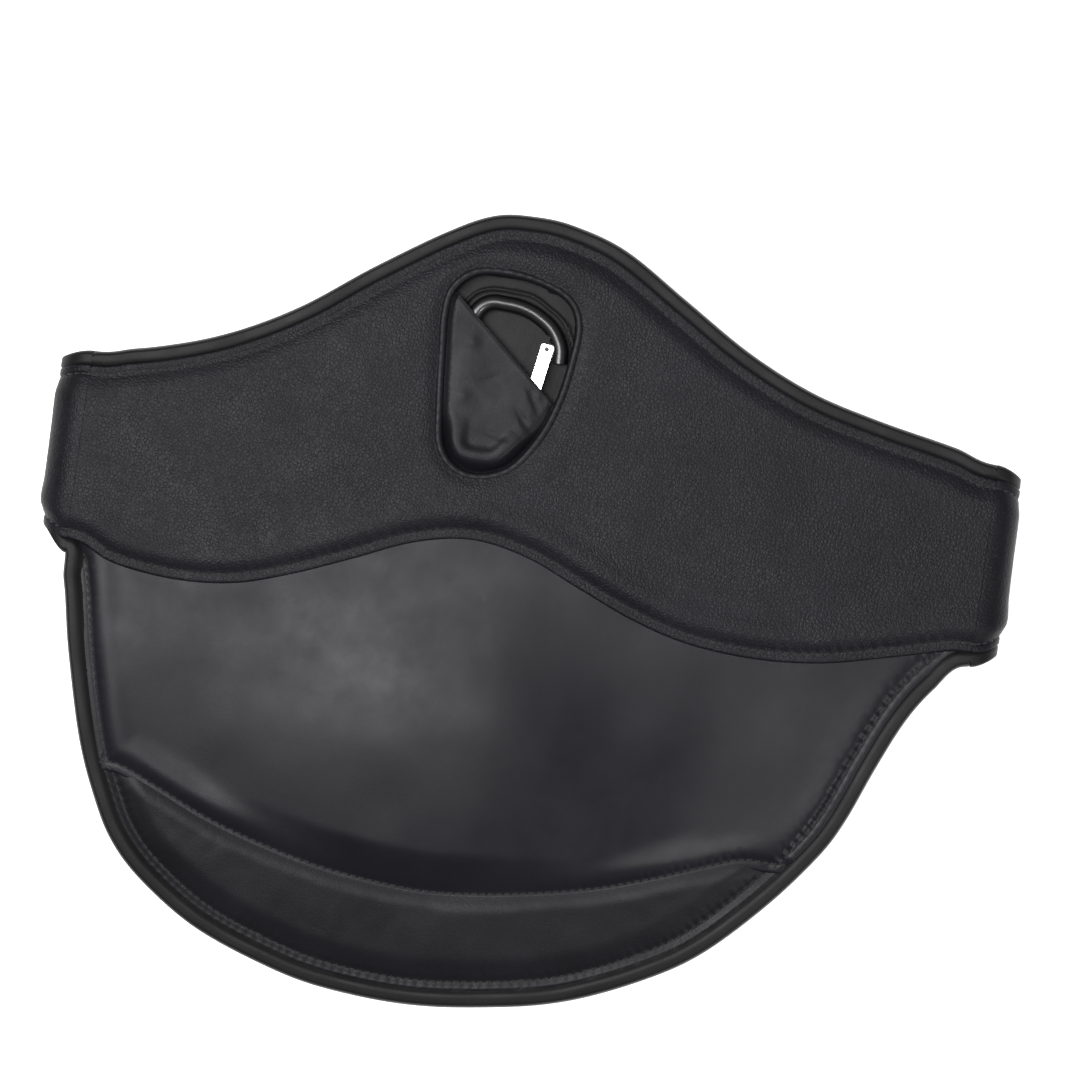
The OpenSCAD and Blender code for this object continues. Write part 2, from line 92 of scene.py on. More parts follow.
TOP_POINTS = [(-205, 83), (-190, 83.2), (-177, 83.8), (-150, 89), (-120, 99), (-90, 115), (-60, 137),
              (-30, 157), (-10, 167), (8, 169), (26, 167.3), (50, 159.5), (80, 141), (110, 122.5), (140, 109),
              (170, 101), (200, 95), (225, 89.6), (238, 88.8), (250, 88.6)]
BOTTOM_POINTS = [(-205, -6.75), (-190, -6.9), (-180, -9), (-175.5, -22), (-170, -49), (-160, -87),
                 (-150, -112), (-140, -130), (-125, -145.5), (-100, -162.5), (-70, -174.5), (-40, -182),
                 (0, -184.5), (40, -180), (70, -173), (100, -160), (125, -144.5), (150, -120), (170, -95),
                 (180, -77.5), (190, -52.5), (200, -30), (210, -14.5), (220, -5), (230, -1.7), (250, -1.25)]
WAVE_POINTS = [(-205, -0.5), (-185, -0.8), (-170, -4), (-150, -9.5), (-125, -11.8), (-100, -9.5),
               (-75, -1.7), (-50, 8.5), (-25, 19), (0, 23.5), (25, 19), (50, 8.5), (75, -1.7), (100, -8.5),
               (130, -11), (160, -8.8), (190, -2), (212, 3.5), (228, 5), (250, 5)]
TOE_POINTS = [(-190, -101), (-153, -100.5), (-142, -100), (-125, -107), (-100, -118), (-75, -126),
              (-50, -132), (-25, -135.5), (0, -137), (25, -135), (50, -131), (75, -125.5), (100, -117.5),
              (125, -108), (138, -103.7), (150, -103.5), (200, -103.5)]
WINDOW_POINTS = [(0, 140.8), (15, 138.5), (27, 133), (32, 123), (31, 107), (28, 90), (22, 73.5), (12, 59),
                 (0, 53.5), (-11, 55), (-18.5, 64), (-21, 82), (-23, 105), (-24, 121), (-22, 132),
                 (-13.5, 139.5)]
HOOK_POINTS = [(27.2, 106), (27, 112.5), (22.4, 121), (10, 128.6), (-13, 129.6), (-13, 60.5), (4.5, 60.5),
               (12.2, 70.5)]
GATE_POINTS = [(14.6, 73.6), (20.9, 111.5)]


# ---- curves and small maths ----
def catmull(points, steps=12, closed=False):
    p = np.array(points, float)
    n = len(p)
    spans = n if closed else n - 1
    t = (np.arange(steps) / steps)[:, None]
    out = []
    for i in range(spans):
        if closed:
            a, b, c, d = (p[(i + k) % n] for k in (-1, 0, 1, 2))
        else:
            a, b, c, d = p[max(i - 1, 0)], p[i], p[i + 1], p[min(i + 2, n - 1)]
        out.append(0.5 * (2 * b + (c - a) * t + (2 * a - 5 * b + 4 * c - d) * t ** 2
                          + (3 * b - a - 3 * c + d) * t ** 3))
    if not closed:
        out.append(p[-1:])
    return np.vstack(out)


def resample(line, spacing, closed=False):
    line = np.vstack([line, line[:1]]) if closed else line
    length = np.concatenate([[0], np.cumsum(np.linalg.norm(np.diff(line, axis=0), axis=1))])
    count = max(2, int(round(length[-1] / spacing)))
    at = np.linspace(0, length[-1], count + 1)
    if closed:
        at = at[:-1]
    return np.stack([np.interp(at, length, line[:, k]) for k in range(line.shape[1])], axis=1)


def tangents(line, closed=False):
    if closed:
        t = np.roll(line, -1, axis=0) - np.roll(line, 1, axis=0)
    else:
        t = np.gradient(line, axis=0)
    return t / np.maximum(np.linalg.norm(t, axis=1, keepdims=True), 1e-9)


def shifted(line, distance, closed=False):
    """The line moved to its left by distance."""
    t = tangents(line, closed)
    return line + distance * np.stack([-t[:, 1], t[:, 0]], axis=1)


def distance_to(points, line, closed=False):
    line = np.vstack([line, line[:1]]) if closed else line
    a, b = line[:-1], line[1:]
    ab = b - a
    scale = np.maximum((ab ** 2).sum(1), 1e-12)
    out = np.empty(len(points))
    for i in range(0, len(points), 4000):
        ap = points[i:i + 4000, None] - a[None]
        t = np.clip((ap * ab).sum(2) / scale, 0, 1)
        out[i:i + 4000] = np.sqrt(((ap - t[..., None] * ab) ** 2).sum(2).min(1))
    return out


def inside(points, loop):
    x, y = points[:, 0], points[:, 1]
    hit = np.zeros(len(points), bool)
    for (x0, y0), (x1, y1) in zip(loop, np.roll(loop, -1, axis=0)):
        if y0 != y1:
            hit ^= ((y0 > y) != (y1 > y)) & (x < (x1 - x0) * (y - y0) / (y1 - y0) + x0)
    return hit


def smooth(low, high, value):
    t = np.clip((value - low) / (high - low), 0, 1)
    return t * t * (3 - 2 * t)


def value_noise(x, y, size, seed):
    """Smooth noise from -1 to 1 with features about size mm wide."""
    table = np.random.default_rng(seed).uniform(-1, 1, (64, 64))
    u, v = x / size, y / size
    i, j = np.floor(u).astype(int), np.floor(v).astype(int)
    fu, fv = u - i, v - j
    fu, fv = fu * fu * (3 - 2 * fu), fv * fv * (3 - 2 * fv)
    at = lambda a, b: table[a % 64, b % 64]
    low = at(i, j) * (1 - fu) + at(i + 1, j) * fu
    high = at(i, j + 1) * (1 - fu) + at(i + 1, j + 1) * fu
    return low * (1 - fv) + high * fv


def sag(y):
    """How far the guard has bent down at y."""
    low = BOTTOM[:, 1].min()
    t = np.clip((BEND_Y - y) / (BEND_Y - low), 0, None)
    return LINER_Z * t ** 2


TOP = catmull(TOP_POINTS)
BOTTOM = catmull(BOTTOM_POINTS)
WAVE = catmull(WAVE_POINTS)
# How far the belly plate swells above its CAD height, along x
SWELL = catmull([(-200, 2.6), (-160, 1.0), (-120, -0.7), (-92, 0.0), (-55, 2.6), (-20, 4.9), (16, 5.9),
                 (45, 4.2), (76, 0.5), (105, -1.5), (132, -0.9), (158, 0.6), (185, 2.0), (240, 2.4)])
TOE = catmull(TOE_POINTS)
WINDOW = resample(catmull(WINDOW_POINTS, closed=True), 1.0, closed=True)
ORIGIN = np.array([(LEFT_FOLD_X + RIGHT_FOLD_X) / 2, (TOP[:, 1].max() + BOTTOM[:, 1].min()) / 2, 0.0])


def between(line, low, high):
    """The part of a left-to-right line between two x values, cut exactly."""
    y = lambda x: np.interp(x, line[:, 0], line[:, 1])
    keep = line[(line[:, 0] > low) & (line[:, 0] < high)]
    return np.vstack([[low, y(low)], keep, [high, y(high)]])


# ---- meshes ----
def make_object(name, points, faces, material, body="pad", smooth_shade=True):
    mesh = bpy.data.meshes.new(name)
    mesh.from_pydata(((np.asarray(points) - ORIGIN) * MM).tolist(), [], [list(map(int, f)) for f in faces])
    mesh.validate()
    mesh.update()
    if smooth_shade:
        mesh.shade_smooth()
    obj = bpy.data.objects.new(name, mesh)
    bpy.context.scene.collection.objects.link(obj)
    mesh.materials.append(material)
    if body:
        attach(obj, body)
    return obj


def fill(outer, holes=(), edge_step=1.2, rings=(0.35, 0.8, 1.5, 2.4, 3.4, 4.6, 6.0), grid=2.2):
    """Points and triangles over a flat region: fine rings along its edges, an even grid inside."""
    loops = [resample(np.asarray(loop, float), edge_step, closed=True) for loop in (outer, *holes)]
    rows = list(loops)
    for loop in loops:
        for d in rings:
            for side in (1, -1):
                ring = shifted(loop, side * d, closed=True)
                rows.append(ring[(nearest(ring, loops) > 0.9 * d) & within(ring, loops)])
    low, high = loops[0].min(0), loops[0].max(0)
    xs, ys = np.arange(low[0], high[0], grid), np.arange(low[1], high[1], grid * 0.866)
    cells = np.stack(np.meshgrid(xs, ys), axis=2)
    cells[1::2, :, 0] += grid / 2
    cells = cells.reshape(-1, 2)
    cells = cells[within(cells, loops)]
    rows.append(cells[nearest(cells, loops) > rings[-1] + 0.6 * grid])
    points = np.vstack(rows)
    edges, start = [], 0
    for loop in loops:
        n = len(loop)
        edges += [(start + i, start + (i + 1) % n) for i in range(n)]
        start += n
    result = delaunay_2d_cdt([Vector(p) for p in points.tolist()], edges, [], 0, 1e-6)
    points = np.array([v[:] for v in result[0]])
    tris = np.array([f for f in result[2]])
    tris = tris[within(points[tris].mean(1), loops)]
    used = np.unique(tris)
    index = np.zeros(len(points), int)
    index[used] = np.arange(len(used))
    return points[used], index[tris]


def nearest(points, loops):
    return np.min([distance_to(points, loop, closed=True) for loop in loops], axis=0)


def within(points, loops):
    hit = inside(points, loops[0])
    for hole in loops[1:]:
        hit &= ~inside(points, hole)
    return hit


def rim_edges(tris):
    """Directed edges that belong to only one triangle."""
    edges = np.vstack([tris[:, [0, 1]], tris[:, [1, 2]], tris[:, [2, 0]]])
    key = np.sort(edges, axis=1)
    _, first, count = np.unique(key, axis=0, return_index=True, return_counts=True)
    return edges[first[count == 1]]


def slab(name, region, top, bottom, material, body="pad"):
    """A closed solid over a filled region, between two height arrays."""
    flat, tris = region
    n = len(flat)
    under = np.minimum(bottom, top - 0.05)
    points = np.vstack([np.column_stack([flat, top]), np.column_stack([flat, under])])
    faces = [list(t) for t in tris] + [[a + n, c + n, b + n] for a, b, c in tris]
    faces += [[b, a, a + n, b + n] for a, b in rim_edges(tris)]
    return make_object(name, points, faces, material, body)


def round_edge(d, radius):
    """0 at the very edge, rising to 1 one radius in, as a quarter circle."""
    t = np.clip(d / radius, 0, 1)
    return np.sqrt(np.clip(1 - (1 - t) ** 2, 0, 1))


def grid_faces(rows, columns, closed_rows=False, closed_columns=False):
    faces = []
    for i in range(rows if closed_rows else rows - 1):
        for j in range(columns if closed_columns else columns - 1):
            a, b = i, (i + 1) % rows
            c, d = j, (j + 1) % columns
            faces.append([a * columns + c, a * columns + d, b * columns + d, b * columns + c])
    return faces


# ---- materials ----
class Nodes:
    """Short names for building a material's nodes."""

    def __init__(self, name):
        self.material = bpy.data.materials.new(name)
        self.material.use_nodes = True
        self.tree = self.material.node_tree
        self.shader = self.tree.nodes["Principled BSDF"]
        self.place = self.add("ShaderNodeTexCoord").outputs["Object"]

    def add(self, kind, inputs=None, **settings):
        node = self.tree.nodes.new(kind)
        for key, value in settings.items():
            setattr(node, key, value)
        for key, value in (inputs or {}).items():
            self.link(value, node.inputs[key])
        return node

    def link(self, value, socket):
        if isinstance(value, bpy.types.NodeSocket):
            self.tree.links.new(value, socket)
        else:
            socket.default_value = value

    def noise(self, size_mm, detail=3.0, rough=0.5, place=None):
        return self.add("ShaderNodeTexNoise", {"Vector": place or self.place, "Scale": 1000 / size_mm,
                                               "Detail": detail, "Roughness": rough}).outputs["Fac"]

    def cells(self, size_mm, feature="F1", place=None, jitter=1.0):
        return self.add("ShaderNodeTexVoronoi", {"Vector": place or self.place, "Scale": 1000 / size_mm,
                                                 "Randomness": jitter}, feature=feature).outputs["Distance"]

    def remap(self, value, low, high, to_low, to_high):
        return self.add("ShaderNodeMapRange", {"Value": value, "From Min": low, "From Max": high,
                                               "To Min": to_low, "To Max": to_high}).outputs["Result"]

    def maths(self, operation, a, b):
        return self.add("ShaderNodeMath", {0: a, 1: b}, operation=operation).outputs[0]

    def mix(self, factor, a, b):
        node = self.add("ShaderNodeMix", data_type="RGBA")
        self.link(factor, node.inputs["Factor"])
        self.link(a, node.inputs["A"])
        self.link(b, node.inputs["B"])
        return node.outputs["Result"]

    def warped(self, size_mm, amount_mm):
        """Coordinates pushed about by a noise, so that grain doesn't look stamped."""
        cloud = self.add("ShaderNodeTexNoise", {"Vector": self.place, "Scale": 1000 / size_mm, "Detail": 2.0})
        centred = self.add("ShaderNodeVectorMath", {0: cloud.outputs["Color"], 1: (0.5, 0.5, 0.5)},
                           operation="SUBTRACT").outputs[0]
        pushed = self.add("ShaderNodeVectorMath", {0: centred, "Scale": amount_mm * MM}, operation="SCALE")
        return self.add("ShaderNodeVectorMath", {0: self.place, 1: pushed.outputs[0]}).outputs[0]

    def bumps(self, *layers):
        """Each layer is (height, depth in mm, strength), the coarsest first."""
        normal = None
        for height, depth_mm, strength in layers:
            node = self.add("ShaderNodeBump",
                            {"Height": height, "Distance": depth_mm * MM, "Strength": strength})
            if normal:
                self.link(normal, node.inputs["Normal"])
            normal = node.outputs["Normal"]
        self.link(normal, self.shader.inputs["Normal"])

    def finish(self, **sockets):
        for name, value in sockets.items():
            self.link(value, self.shader.inputs[name.replace("_", " ")])
        return self.material


def leather(name, dark, light, rough, grain_mm, grain_depth, crease_depth, level):
    n = Nodes(name)
    warp = n.warped(6.0, 1.6)
    pebbles = n.remap(n.cells(grain_mm, "DISTANCE_TO_EDGE", warp), 0.0, 0.28, 0.0, 1.0)
    pores = n.noise(0.5, 2.0)
    creases = n.remap(n.cells(4.2, "DISTANCE_TO_EDGE", n.warped(9.0, 4.0)), 0.0, 0.10, 0.0, 1.0)
    folds = n.noise(14.0, 4.0, 0.6)
    n.bumps((folds, 0.4, 0.12), (creases, crease_depth, 0.4), (pebbles, grain_depth, 0.5), (pores, 0.03, 0.3))
    colour = n.mix(n.remap(n.noise(38.0, 4.0), 0.3, 0.7, 0.0, 1.0), dark, light)
    # The valleys between the pebbles are painted darker here: painted shade in the grain's crevices.
    colour = n.mix(n.remap(pebbles, 0.0, 1.0, 0.3, 0.0), colour, (0.003, 0.003, 0.004, 1))
    worn = n.remap(n.noise(22.0, 5.0, 0.65), 0.3, 0.75, rough - 0.05, rough + 0.06)
    return n.finish(Base_Color=colour, Roughness=worn, Specular_IOR_Level=level)


def metal(name, colour, rough, metallic=1.0, coat=0.0, scratch=0.03):
    n = Nodes(name)
    streaks = n.noise(1.2, 5.0, 0.7)
    n.bumps((n.noise(6.0, 2.0), 0.05, 0.12), (streaks, scratch, 0.15))
    deep = tuple(c * 0.86 for c in colour[:3]) + (1,)
    tint = n.mix(n.remap(n.noise(9.0, 3.0), 0.35, 0.65, 0.0, 1.0), colour, deep)
    return n.finish(Base_Color=tint, Roughness=n.remap(streaks, 0.3, 0.7, rough - 0.03, rough + 0.06),
                    Metallic=metallic, Coat_Weight=coat, Coat_Roughness=0.15)


def woven(name, colour, rib_mm, axis):
    """Ribbed elastic or webbing; the ribs repeat along axis."""
    n = Nodes(name)
    split = n.add("ShaderNodeSeparateXYZ", {0: n.place})
    ribs = n.maths("SINE", n.maths("MULTIPLY", split.outputs[axis], 2 * math.pi * 1000 / rib_mm), 0.0)
    across = n.maths("SINE", n.maths("MULTIPLY", split.outputs["XYZ".replace(axis, "")[0]],
                                     2 * math.pi * 1000 / (rib_mm * 0.6)), 0.0)
    thread = n.maths("MULTIPLY", ribs, across)
    n.bumps((ribs, 0.25, 0.6), (thread, 0.12, 0.5), (n.noise(0.4, 2.0), 0.05, 0.3))
    # The raised crossings of the weave are painted lighter, up to halfway to 2.2 times the colour: a painted
    # highlight on the thread crests.
    light = tuple(c * 2.2 for c in colour[:3]) + (1,)
    tint = n.mix(n.remap(thread, -1.0, 1.0, 0.0, 0.5), colour, light)
    return n.finish(Base_Color=tint, Roughness=n.remap(n.noise(3.0), 0.3, 0.7, 0.72, 0.9), Sheen_Weight=0.15)


GRAINED = leather("grained_leather", (0.006, 0.006, 0.008, 1), (0.009, 0.009, 0.012, 1),
                  rough=0.45, grain_mm=1.6, grain_depth=0.17, crease_depth=0.06, level=0.12)
SMOOTH = leather("smooth_leather", (0.006, 0.006, 0.0085, 1), (0.009, 0.009, 0.0125, 1),
                 rough=0.36, grain_mm=0.7, grain_depth=0.014, crease_depth=0.01, level=0.13)
SOFT = leather("soft_leather", (0.006, 0.006, 0.0075, 1), (0.009, 0.009, 0.0115, 1),
               rough=0.42, grain_mm=0.8, grain_depth=0.03, crease_depth=0.03, level=0.12)
LINER = leather("liner_leather", (0.006, 0.0058, 0.006, 1), (0.009, 0.0087, 0.009, 1),
                rough=0.48, grain_mm=0.8, grain_depth=0.03, crease_depth=0.03, level=0.14)
ENAMEL = metal("black_enamel", (0.004, 0.004, 0.005, 1), 0.34, metallic=0.0, coat=0.15, scratch=0.01)
SATIN = metal("satin_steel", (0.72, 0.71, 0.70, 1), 0.26)
GUNMETAL = metal("dark_steel", (0.05, 0.05, 0.055, 1), 0.5)
BRIGHT = metal("bright_steel", (0.78, 0.78, 0.78, 1), 0.14, scratch=0.015)
ELASTIC = woven("elastic_ribs", (0.010, 0.010, 0.011, 1), 1.5, "Y")
THREAD = woven("thread_twist", (0.004, 0.004, 0.0045, 1), 0.8, "X")


# ---- the pad's edges ----
def edge_curve(points_line, inset, low, high):
    line = shifted(points_line, inset)
    return between(line, low, high)


def toward_strap(line, strap_low_or_high):
    """Brings a line to the strap's own edge at either fold."""
    out = line.copy()
    for side, x in (("left", LEFT_FOLD_X), ("right", RIGHT_FOLD_X)):
        target = STRAP_Y[side] + strap_low_or_high
        near = 1 - smooth(0, 18, np.abs(out[:, 0] - x))
        out[:, 1] += near * (target - out[:, 1])
    return out


def lower_edge(inset):
    """The guard's outline from fold to fold, with the corner where each strap leaves it."""
    line = shifted(BOTTOM, inset)
    half = STRAP_LINER_W / 2 - inset
    start = [LEFT_FOLD_X + inset * 0.0, STRAP_Y["left"] - half]
    end = [RIGHT_FOLD_X, STRAP_Y["right"] - half]
    keep = line[(line[:, 0] > LEFT_FOLD_X) & (line[:, 0] < RIGHT_FOLD_X)]
    keep[:, 1] += (1 - smooth(0, 14, RIGHT_FOLD_X - keep[:, 0])) * (end[1] - keep[:, 1])
    return np.vstack([start, keep, end])


BAND_TOP = toward_strap(edge_curve(TOP, -RIM_W, LEFT_FOLD_X, RIGHT_FOLD_X), STRAP_W / 2)
BAND_LOW = toward_strap(between(WAVE, LEFT_FOLD_X, RIGHT_FOLD_X), -STRAP_W / 2)
RIM_TOP = toward_strap(between(TOP, LEFT_FOLD_X, RIGHT_FOLD_X), STRAP_LINER_W / 2)
RIM_LOW = lower_edge(0.0)


def band_height(d_top, d_low):
    """Height of the padded band from its distances to its two long edges."""
    height = 26.3 - 1.4 * (1 - smooth(3.8, 12.0, d_top)) - 0.6 * np.exp(-((d_top - 4.2) / 0.6) ** 2)
    height += 0.7 * np.exp(-((d_low - 12.0) / 5.5) ** 2) - 1.3 * (1 - smooth(3.8, 10.0, d_low))
    height -= 0.65 * np.exp(-((d_low - 4.1) / 0.6) ** 2)
    edge = np.minimum(d_top, d_low)
    return BAND_UNDER + (height - BAND_UNDER) * (0.5 + 0.5 * round_edge(edge, 0.8))


BAND_UNDER = 21.6


def fold_fade(x, reach=10.0):
    """0 at either fold, 1 away from them, so that what meets there agrees."""
    return smooth(0, reach, x - LEFT_FOLD_X) * smooth(0, reach, RIGHT_FOLD_X - x)


def grow(loop, d):
    """A closed clockwise loop moved outwards."""
    return shifted(loop, d, closed=True)


FOLD_RIM = 2.5
RIM_CURVE = (2.0, 4.5)


def sharpen(obj, test):
    """Keeps smooth shading from running round the cut ends that test picks by their points, in mm."""
    mesh = obj.data
    co = np.array([v.co[:] for v in mesh.vertices]) / MM + ORIGIN
    picked = test(co)
    flags = mesh.attributes.new("sharp_edge", "BOOLEAN", "EDGE") if "sharp_edge" not in mesh.attributes \
        else mesh.attributes["sharp_edge"]
    creases = mesh.attributes.new("crease_edge", "FLOAT", "EDGE")
    for edge in mesh.edges:
        if picked[edge.vertices[0]] and picked[edge.vertices[1]]:
            flags.data[edge.index].value = True
            creases.data[edge.index].value = 1.0


at_fold = lambda co: (co[:, 0] < LEFT_FOLD_X + 0.01) | (co[:, 0] > RIGHT_FOLD_X - 0.01)


def band():
    outer = np.vstack([BAND_TOP, BAND_LOW[::-1]])
    hole = grow(WINDOW, 2.0)
    region = fill(outer, [hole], edge_step=1.2, grid=2.0)
    p = region[0]
    d_top, d_low = distance_to(p, BAND_TOP), distance_to(p, BAND_LOW)
    d_hole = distance_to(p, hole, closed=True)
    top = band_height(d_top, d_low)
    fade = fold_fade(p[:, 0], 26.0)
    body = smooth(5, 16, np.minimum(d_top, d_low)) * fade
    top += body * (0.35 * value_noise(p[:, 0], p[:, 1], 46, 1) + 0.07 * value_noise(p[:, 0], p[:, 1], 15, 2))
    top -= 0.9 * np.exp(-(d_hole / 4.0) ** 2)
    gather = along(p, BAND_LOW)
    ripple = np.sin(2 * math.pi * gather / 5.2 + 2 * value_noise(gather, p[:, 1], 17, 4))
    top += fade * (0.2 + 0.3 * smooth(60, 150, p[:, 0])) * ripple * np.exp(-((d_low - 7.4) / 2.6) ** 2)
    obj = slab("band_skin", region, top, np.full(len(p), BAND_UNDER - 0.6), GRAINED)
    sharpen(obj, at_fold)
    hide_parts("band_facing", "band_padding", "web_anchors")
    return obj


def along(points, line):
    """How far along a line, in mm, each point's nearest place is."""
    line = resample(line, 1.0)
    out = np.empty(len(points))
    for i in range(0, len(points), 4000):
        gap = ((points[i:i + 4000, None] - line[None]) ** 2).sum(2)
        out[i:i + 4000] = gap.argmin(1)
    return out


def plate_outline():
    """The smooth plate: tucked under the band above, over the toe below."""
    side = lower_edge(RIM_W)
    upper = shifted(between(WAVE, LEFT_FOLD_X + 1, RIGHT_FOLD_X - 1), 5.0)
    toe = TOE
    guard = np.vstack([side, [[RIGHT_FOLD_X, 60], [LEFT_FOLD_X, 60]]])
    wave_y = lambda x: np.interp(x, upper[:, 0], upper[:, 1])
    toe_y = lambda x: np.interp(x, toe[:, 0], toe[:, 1])
    side = resample(side, 0.8)
    keep = (side[:, 1] < wave_y(side[:, 0])) & (side[:, 1] > toe_y(side[:, 0]))
    left = side[keep & (side[:, 0] < 0)]
    right = side[keep & (side[:, 0] > 0)]
    top = upper[inside(upper, guard)]
    low = resample(toe, 0.8)
    low = low[inside(low, guard)]
    return top, right[::-1], low[::-1], left[::-1]


def plate():
    top_line, right, low, left = plate_outline()
    region = fill(np.vstack([top_line, right, low, left]), edge_step=1.0, grid=2.2)
    p = region[0]
    sides = np.minimum(distance_to(p, left), distance_to(p, right))
    d_low = distance_to(p, low)
    edge = np.minimum(sides, d_low)
    right_side = smooth(80, 140, p[:, 0])
    ease = 1 - 0.8 * right_side * smooth(4, 9, d_low)
    height = 23.4 - ease * (0.9 * (1 - smooth(3.4, 10.0, edge)) - 0.5 * np.exp(-((edge - 11) / 5.0) ** 2))
    height -= 0.55 * np.exp(-((edge - 4.3) / 0.7) ** 2)
    s_side, s_low = along(p, np.vstack([left[::-1], right])), along(p, low)
    wobble = value_noise(p[:, 0], p[:, 1], 9, 11)
    gather = 0.05 + 0.22 * smooth(100, 160, p[:, 0])
    height += gather * np.sin(2 * math.pi * s_side / 4.7 + wobble) * np.exp(-((sides - 6.9) / 2.4) ** 2)
    height += 0.17 * np.sin(2 * math.pi * s_low / 3.6 + wobble) * np.exp(-((d_low - 6.4) / 1.7) ** 2)
    body = smooth(6, 22, edge)
    body += right_side * (smooth(4.2, 7.0, sides) * smooth(5, 16, d_low) - body)
    below = np.interp(p[:, 0], WAVE[:, 0], WAVE[:, 1]) - p[:, 1]
    swell = np.interp(p[:, 0], SWELL[:, 0], SWELL[:, 1]) * (0.12 + 0.88 * smooth(0, 90, below))
    height += body * (swell + 0.4 * value_noise(p[:, 0], p[:, 1], 60, 12)
                      + 0.2 * value_noise(p[:, 0], p[:, 1], 24, 13))
    under = 20.6 - sag(p[:, 1])
    top = height - sag(p[:, 1])
    top = under + (top - under) * (0.5 + 0.5 * round_edge(edge, 0.8))
    obj = slab("plate_skin", region, top, under - 0.6, SMOOTH)
    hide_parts("belly_plate")
    return obj


def toe():
    _, _, low, _ = plate_outline()
    low = low[::-1]
    side = resample(lower_edge(RIM_W + 1.0), 0.8)
    rim = side[side[:, 1] < np.interp(side[:, 0], TOE[:, 0], TOE[:, 1])]
    inner = shifted(low, 6.0)
    foot = np.vstack([lower_edge(RIM_W + 1.5), [[RIGHT_FOLD_X, 60], [LEFT_FOLD_X, 60]]])
    inner = inner[inside(inner, foot)]
    region = fill(np.vstack([inner, rim[::-1]]), edge_step=1.0, grid=2.0)
    p = region[0]
    d_rim = distance_to(p, rim)
    d_plate = distance_to(p, low) * np.where(p[:, 1] < np.interp(p[:, 0], TOE[:, 0], TOE[:, 1]), 1, -1)
    s = along(p, rim)
    wobble = value_noise(p[:, 0], p[:, 1], 8, 21)
    height = 21.7 + 2.3 * smooth(3.5, 15, d_rim) * smooth(-7, 4, d_plate) + 0.5 * (1 - smooth(0, 4, d_rim))
    height -= 0.8 * np.exp(-((d_rim - 4.2) / 0.9) ** 2)
    ripple = np.sin(2 * math.pi * s / 4.2 + 1.5 * wobble) * (0.7 + 0.5 * value_noise(s, d_rim, 12, 22))
    height += 0.28 * ripple * np.exp(-((d_rim - 6.5) / 2.4) ** 2)
    height += 0.12 * ripple * np.exp(-((d_rim - 2.0) / 1.2) ** 2)
    body = smooth(5, 12, d_rim) * smooth(-1, 6, d_plate)
    height += body * (0.32 * value_noise(s, d_rim, 22, 23) + 0.10 * value_noise(s * 1.6, d_rim, 9, 24))
    under = 20.0 - sag(p[:, 1])
    top = under + (height - sag(p[:, 1]) - under) * (0.4 + 0.6 * round_edge(d_rim, 0.9))
    obj = slab("toe_skin", region, top, under - 0.6, SOFT)
    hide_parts("toe_panel", "toe_padding")
    return obj


def puff(obj, pressure, cap_mm, weight, frames=20):
    """Swells a closed mesh with a short cloth simulation and keeps the result.

    Each point moves by up to its own weight times the cap.
    """
    start = np.array([v.co[:] for v in obj.data.vertices])
    modifier = obj.modifiers.new("swell", "CLOTH")
    cloth = modifier.settings
    cloth.use_pressure = True
    cloth.uniform_pressure_force = pressure
    cloth.effector_weights.gravity = 0
    cloth.tension_stiffness = 20
    cloth.bending_stiffness = 1.5
    modifier.collision_settings.use_collision = False
    modifier.point_cache.frame_start, modifier.point_cache.frame_end = 1, frames
    scene = bpy.context.scene
    for number in range(1, frames + 1):
        scene.frame_set(number)
    shape = obj.evaluated_get(bpy.context.evaluated_depsgraph_get()).data
    end = np.array([v.co[:] for v in shape.vertices])
    obj.modifiers.remove(modifier)
    scene.frame_set(1)
    move = end - start
    size = np.maximum(np.linalg.norm(move, axis=1, keepdims=True), 1e-9)
    move *= np.minimum(1, cap_mm * MM / size) * weight[:, None]
    obj.data.vertices.foreach_set("co", (start + move).ravel())
    obj.data.update()


def apply_modifier(obj, kind, **settings):
    modifier = obj.modifiers.new("shape", kind)
    for key, value in settings.items():
        setattr(modifier, key, value)
    mesh = bpy.data.meshes.new_from_object(obj.evaluated_get(bpy.context.evaluated_depsgraph_get()))
    obj.modifiers.clear()
    obj.data = mesh


def under_height(p):
    """Underside of the pad, which rises to the strap's liner near either fold."""
    low = LINER_Z - sag(p[:, 1])
    for side, x in (("left", LEFT_FOLD_X), ("right", RIGHT_FOLD_X)):
        near = 1 - smooth(6, 30, np.abs(p[:, 0] - x))
        strap = smooth(STRAP_LINER_W / 2 + 9, STRAP_LINER_W / 2 - 1, np.abs(p[:, 1] - STRAP_Y[side]))
        low = low + near * strap * (TOP_Z - 9.5 - LINER_Z)
    return low


